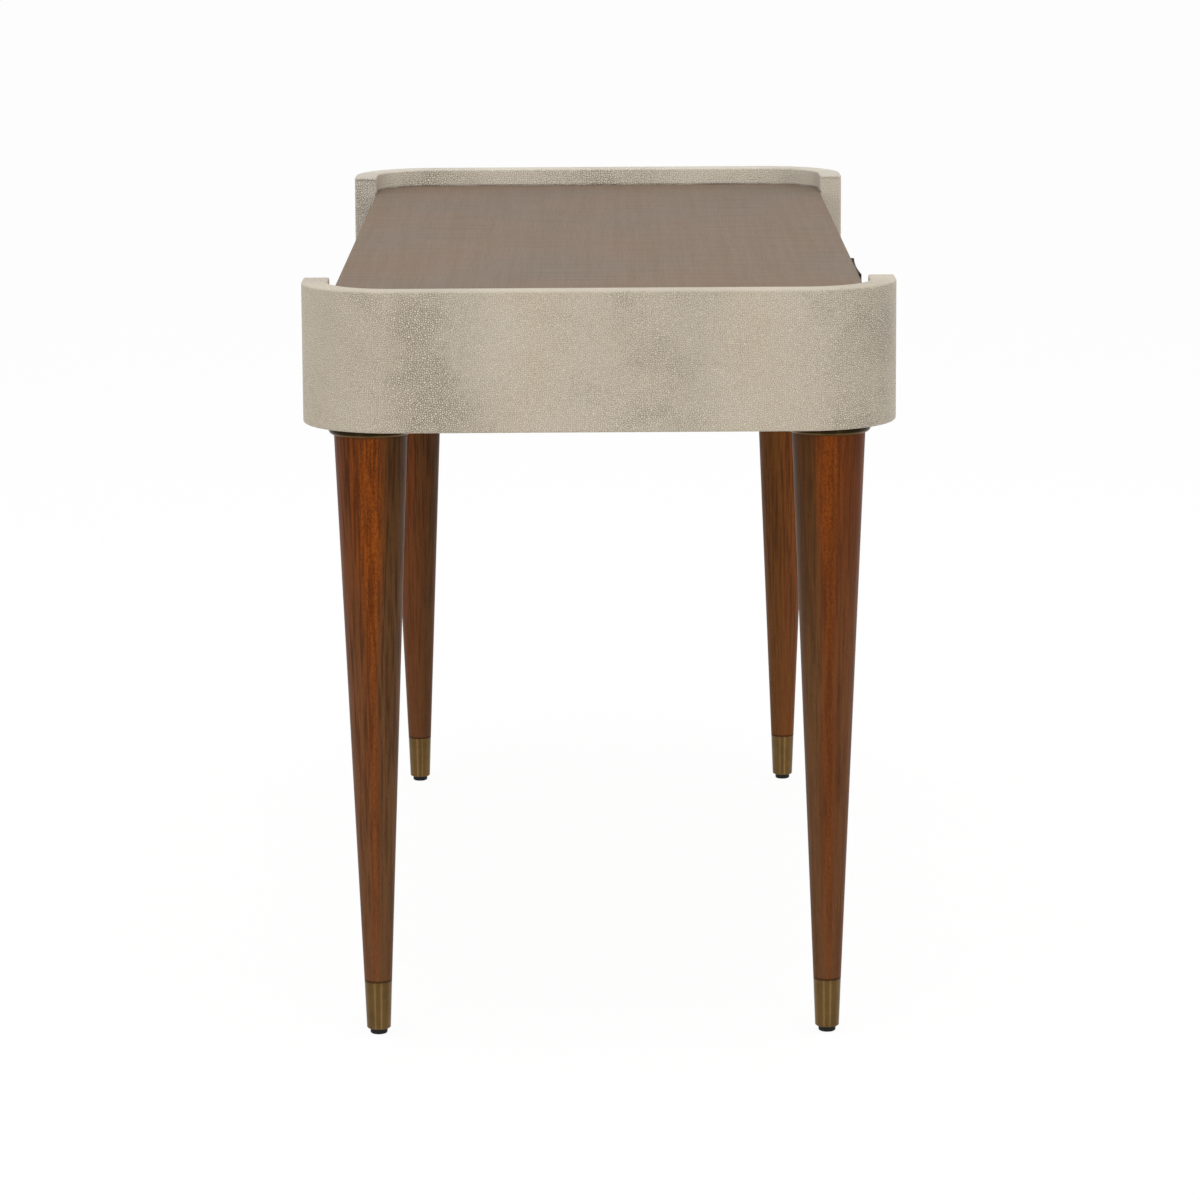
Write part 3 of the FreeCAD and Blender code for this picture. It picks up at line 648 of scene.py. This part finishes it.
def bandStations(halfDepth, arm, values):
    # Stops round the band for its left end: x from the end face, y, the way out, distance from the middle
    radius, edge = values["radius"], values["edge"]
    flat = halfDepth - radius
    quarter = radius * math.pi / 2
    half = [(arm - edge, halfDepth, 0, 1, flat + quarter + arm - radius - edge)]
    for cos, sin in quarterTurn(values["cornerSteps"])[:-1]:
        turned = quarter * (1 - math.atan2(sin, cos) / (math.pi / 2))
        half.append((radius - radius * sin, flat + radius * cos, -sin, cos, flat + turned))
    for step in range(values["faceSteps"] + 1):
        along = flat - step * flat / values["faceSteps"]
        half.append((0, along, -1, 0, along))
    return half + [(x, -y, nx, -ny, -along) for x, y, nx, ny, along in half[-2::-1]]


def shrunkSection(section, inset, low, high, values):
    # The section drawn in from its edges, for the rounded ends of the arms
    under = low - values["lipThick"] + inset
    return [(min(max(depth, inset), values["thick"] - inset), min(max(height, under), high - inset))
            for depth, height in section]


def addBand(side, values):
    low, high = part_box(side + "_band_shagreen")
    flip, endX, armX = (1, low[0], high[0]) if side == "left" else (-1, high[0], low[0])
    halfDepth, edge = (high[1] - low[1]) / 2, values["edge"]
    section = bandSection(low[2], high[2], values)
    stations = bandStations(halfDepth, abs(armX - endX), values)
    count = len(section)
    climb = [0.0]
    for before, after in zip(section, section[1:] + section[:1]):
        climb.append(climb[-1] + math.dist(before, after))

    mesh = bmesh.new()
    unrolled = mesh.loops.layers.uv.new("unrolled")
    rings, maps = [], []

    def addRing(station, points, ahead=0.0, extra=0.0):
        x, y, outX, outY, along = station
        rings.append([mesh.verts.new((endX + flip * (x - outX * depth + ahead), y - outY * depth, height))
                      for depth, height in points])
        shift = along + math.copysign(extra, along) + values["spineShift"][side]
        maps.append([(shift, rise) for rise in climb])

    rounding = quarterTurn(values["edgeSteps"])[1:]
    caps = [(shrunkSection(section, edge * (1 - cos), low[2], high[2], values), edge * sin)
            for cos, sin in rounding]
    for points, ahead in caps[::-1]:
        addRing(stations[0], points, ahead, ahead)
    for station in stations:
        addRing(station, section)
    for points, ahead in caps:
        addRing(stations[-1], points, ahead, ahead)

    for ringA, ringB, mapA, mapB in zip(rings, rings[1:], maps, maps[1:]):
        for i in range(count):
            after = (i + 1) % count  # the last strip closes the underside, inside the core
            face = mesh.faces.new((ringA[i], ringA[after], ringB[after], ringB[i]))
            for loop, spot in zip(face.loops, (mapA[i], mapA[i + 1], mapB[i + 1], mapB[i])):
                loop[unrolled].uv = spot
    for ring, spine in zip((rings[0], rings[-1]), values["endSpines"]):
        face = mesh.faces.new(ring)
        for loop in face.loops:
            loop[unrolled].uv = (spine + halfDepth - abs(loop.vert.co.y), loop.vert.co.z)
    bmesh.ops.remove_doubles(mesh, verts=mesh.verts, dist=values["weld"])
    for face in mesh.faces:
        face.smooth = True
    bmesh.ops.recalc_face_normals(mesh, faces=mesh.faces)
    data = bpy.data.meshes.new(side + "_shagreen_wrap")
    mesh.to_mesh(data)
    mesh.free()
    wrap = bpy.data.objects.new(side + "_shagreen_wrap", data)
    bpy.context.scene.collection.objects.link(wrap)
    wrap.modifiers.new("shading", "WEIGHTED_NORMAL").keep_sharp = True
    data.materials.append(finishes["shagreen"])
    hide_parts(side + "_band_shagreen")
    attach(wrap, "root")


for side in ("left", "right"):
    addBand(side, bandValues)
print("shagreen bands made")


screwValues = {
    "segments": 24,
    "slideHead": (0.0036, 0.0017),  # radius and height
    "slideWall": 0.0012,
    "slidePlaces": (0.035, 0.225, 0.415),  # from the front end of a drawer member
    "slideShank": 0.001,  # length of the shank under the head
    "shank": 0.0019,  # radius of every shank
    "dome": ((1.0, 0.3), (0.95, 0.62), (0.84, 0.88), (0.72, 1.0)),  # in head radii and head heights
    "recess": (0.17, 0.62, 0.55),  # half width and reach in head radii, depth in head heights
}


def crossOutline(half, reach):
    corners = [(half, half), (half, reach), (-half, reach), (-half, half), (-reach, half), (-reach, -half)]
    return corners + [(-x, -y) for x, y in corners]


def addScrew(mesh, place, facing, head, shank, values):
    # A domed head with a cross recess; its underside stands at place and it looks along facing
    radius, height = head
    count = values["segments"]
    turn = Matrix.Translation(place) @ Vector(facing).to_track_quat("Z", "Y").to_matrix().to_4x4()
    profile = [(values["shank"], -shank), (values["shank"], 0), (radius, 0)]
    profile += [(radius * wide, height * tall) for wide, tall in values["dome"]]

    def ring(points):
        return [mesh.verts.new(turn @ Vector(point)) for point in points]

    rings = [ring([(r * math.cos(i * math.tau / count), r * math.sin(i * math.tau / count), z)
                   for i in range(count)]) for r, z in profile]
    half, reach, depth = values["recess"]
    outline = crossOutline(half * radius, reach * radius)
    rim, floor = (ring([(x, y, z) for x, y in outline]) for z in (height, height * (1 - depth)))
    for lower, upper in [*zip(rings, rings[1:]), (rim, floor)]:
        for i in range(len(lower)):
            mesh.faces.new((lower[i - 1], lower[i], upper[i], upper[i - 1]))
    mesh.faces.new(rings[0])
    mesh.faces.new(floor)
    edges = [mesh.edges.get((loop[i - 1], loop[i])) for loop in (rings[-1], rim) for i in range(len(loop))]
    bmesh.ops.triangle_fill(mesh, edges=edges, use_beauty=True)


def addScrews(name, body, screws, values, replaced=None):
    mesh = bmesh.new()
    for screw in screws:
        addScrew(mesh, *screw, values)
    bmesh.ops.recalc_face_normals(mesh, faces=mesh.faces)
    data = bpy.data.meshes.new(name)
    mesh.to_mesh(data)
    mesh.free()
    piece = bpy.data.objects.new(name, data)
    bpy.context.scene.collection.objects.link(piece)
    data.materials.append(finishes["zinc_steel"])
    if replaced:
        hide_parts(replaced)
    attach(piece, body)


for side in ("left", "right"):
    low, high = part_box(side + "_pull_screws")
    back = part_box(side + "_drawer_front")[1][1]
    radius, middle = (high[2] - low[2]) / 2, (high[2] + low[2]) / 2
    spots = [((x, back, middle), (0, 1, 0), (radius, high[1] - back), back - low[1])
             for x in (low[0] + radius, high[0] - radius)]
    addScrews(side + "_cross_head_screws", side + "_drawer", spots, screwValues, side + "_pull_screws")
    low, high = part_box(side + "_slide_drawer_members")
    walls = ((-1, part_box(side + "_drawer_left_side")[0][0]), (1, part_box(side + "_drawer_right_side")[1][0]))
    middle = (low[2] + high[2]) / 2
    spots = [((x + way * screwValues["slideWall"], low[1] + along, middle), (way, 0, 0),
              screwValues["slideHead"], screwValues["slideShank"])
             for way, x in walls for along in screwValues["slidePlaces"]]
    addScrews(side + "_slide_screws", side + "_drawer", spots, screwValues)
print("screws made")


def nodeFinish(name):
    if name == "desktop_panel" or name == "back_panel" or name.endswith("drawer_front"):
        return "taupe_wood"
    if name.endswith("_leg"):
        return "leg_wood"
    if name.endswith("collar") or name.endswith("ferrule"):
        return "antique_brass"
    if name.endswith("drawer_pull"):
        return "dark_bronze"
    if name == "leg_glides":
        return "glide_black"
    if "slide" in name or "screws" in name or "bolts" in name:
        return "zinc_steel"
    if name.endswith("drawer_back"):
        return "drawer_box_wood_cross"
    if "drawer_" in name:
        return "drawer_box_wood"
    if name.endswith("corner_block"):
        return "block_wood"
    return "case_wood_deep" if name.endswith("case_end") or name == "middle_divider" else "case_wood"


edgeValues = {
    "widths": {"taupe_wood": 0.0008, "drawer": 0.0007, "case": 0.0007, "block": 0.001},
    "segments": 3,
    "fold": math.radians(40),  # edges that fold by more than this
    "length": 0.003,  # and are longer than this get eased
    "weld": 0.00002,  # points closer than this become one before the edges are eased
}


def makeEdgePicker(angle, length):
    # Marks the long sharp edges for the bevel, so that the rims of screw holes stay as they are
    group = bpy.data.node_groups.new("longEdges", "GeometryNodeTree")
    for way in ("INPUT", "OUTPUT"):
        group.interface.new_socket("Geometry", in_out=way, socket_type="NodeSocketGeometry")
    picker = Finish("longEdges", group)
    ends = picker.node("GeometryNodeInputMeshEdgeVertices", output="Position 1")
    both = [ends, ends.out("Position 2")]
    reach = picker.node("ShaderNodeVectorMath", {"operation": "DISTANCE"}, both, "Value")
    fold = picker.node("GeometryNodeInputMeshEdgeAngle")
    picked = fold.sum("GREATER_THAN", fold, angle) * reach.sum("GREATER_THAN", reach, length)
    sockets = {"Geometry": picker.node("NodeGroupInput"), "Name": "bevel_weight_edge", "Value": picked}
    marked = picker.node("GeometryNodeStoreNamedAttribute", {"data_type": "FLOAT", "domain": "EDGE"}, sockets)
    picker.node("NodeGroupOutput", {}, [marked])
    return group


longEdges = makeEdgePicker(edgeValues["fold"], edgeValues["length"])

for name, part in nodes.items():
    slotName = nodeFinish(name)
    part.data.materials.clear()
    part.data.materials.append(finishes[slotName])
    widths = [width for key, width in edgeValues["widths"].items() if slotName.startswith(key)]
    if widths:
        part.modifiers.new("weld", "WELD").merge_threshold = edgeValues["weld"]
        part.modifiers.new("longEdges", "NODES").node_group = longEdges
        ease = part.modifiers.new("easedEdges", "BEVEL")
        ease.width, ease.segments, ease.limit_method = widths[0], edgeValues["segments"], "WEIGHT"
        ease.harden_normals, ease.loop_slide = True, False
print("finishes given to", len(nodes), "nodes")
